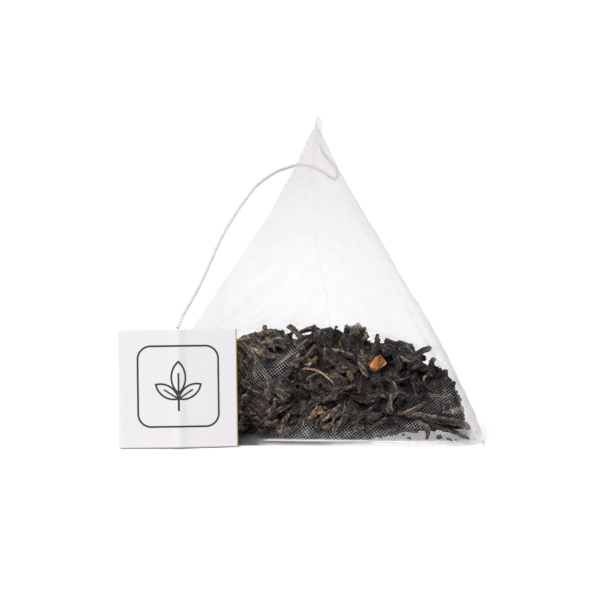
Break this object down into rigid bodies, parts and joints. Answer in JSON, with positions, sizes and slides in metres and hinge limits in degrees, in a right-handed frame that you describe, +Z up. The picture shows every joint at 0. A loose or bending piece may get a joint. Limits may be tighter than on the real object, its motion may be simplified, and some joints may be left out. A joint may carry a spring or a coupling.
{
  "type": "tea bag",
  "caption": "Pyramid tea bag: a see-through mesh pouch of loose leaf tea that stands on one face, with a white cotton string and a square folded card tag.",
  "frame": {"origin": "on the floor, under the middle of the pouch's own box", "axes": "+Z up; +Y from the front seal towards the rear base corner; X along the front seal, with the tag in front of its -X half"},
  "size_m": [0.0678, 0.0769, 0.0592],
  "materials": {
    "mesh_film": "satin",
    "tea_dark": "matte",
    "bark": "matte",
    "stem": "matte",
    "twig": "matte",
    "cotton": "matte",
    "card": "matte"
  },
  "bodies": {
    "root": {"bark_flake": "bark", "front_leaf_01": "tea_dark", "front_leaf_02": "tea_dark", "front_leaf_03": "tea_dark", "front_leaf_04": "tea_dark", "front_leaf_05": "tea_dark", "front_leaf_06": "tea_dark", "front_leaf_07": "tea_dark", "front_leaf_08": "tea_dark", "front_leaf_09": "tea_dark", "front_leaf_10": "tea_dark", "front_leaf_11": "tea_dark", "front_leaf_12": "tea_dark", "front_leaf_13": "tea_dark", "front_leaf_14": "tea_dark", "front_leaf_15": "tea_dark", "front_leaf_16": "tea_dark", "front_leaf_17": "tea_dark", "front_leaf_18": "tea_dark", "front_leaf_19": "tea_dark", "front_leaf_20": "tea_dark", "front_leaf_21": "tea_dark", "front_leaf_22": "tea_dark", "front_leaf_23": "tea_dark", "front_leaf_24": "tea_dark", "front_leaf_25": "tea_dark", "front_leaf_26": "tea_dark", "long_twig": "twig", "mesh_pouch": "mesh_film", "pale_stem": "stem", "slope_leaf_01": "tea_dark", "slope_leaf_02": "tea_dark", "slope_leaf_03": "tea_dark", "slope_leaf_04": "tea_dark", "slope_leaf_05": "tea_dark", "slope_leaf_06": "tea_dark", "slope_leaf_07": "tea_dark", "slope_leaf_08": "tea_dark", "slope_leaf_09": "tea_dark", "slope_leaf_10": "tea_dark", "slope_leaf_11": "tea_dark", "slope_leaf_12": "tea_dark", "slope_leaf_13": "tea_dark", "slope_leaf_14": "tea_dark", "slope_leaf_15": "tea_dark", "slope_leaf_16": "tea_dark", "slope_leaf_17": "tea_dark", "slope_leaf_18": "tea_dark", "slope_leaf_19": "tea_dark", "slope_leaf_20": "tea_dark", "slope_leaf_21": "tea_dark", "string": "cotton", "tag": "card", "tea_heap": "tea_dark", "upper_twig": "twig"}
  },
  "joints": []
}
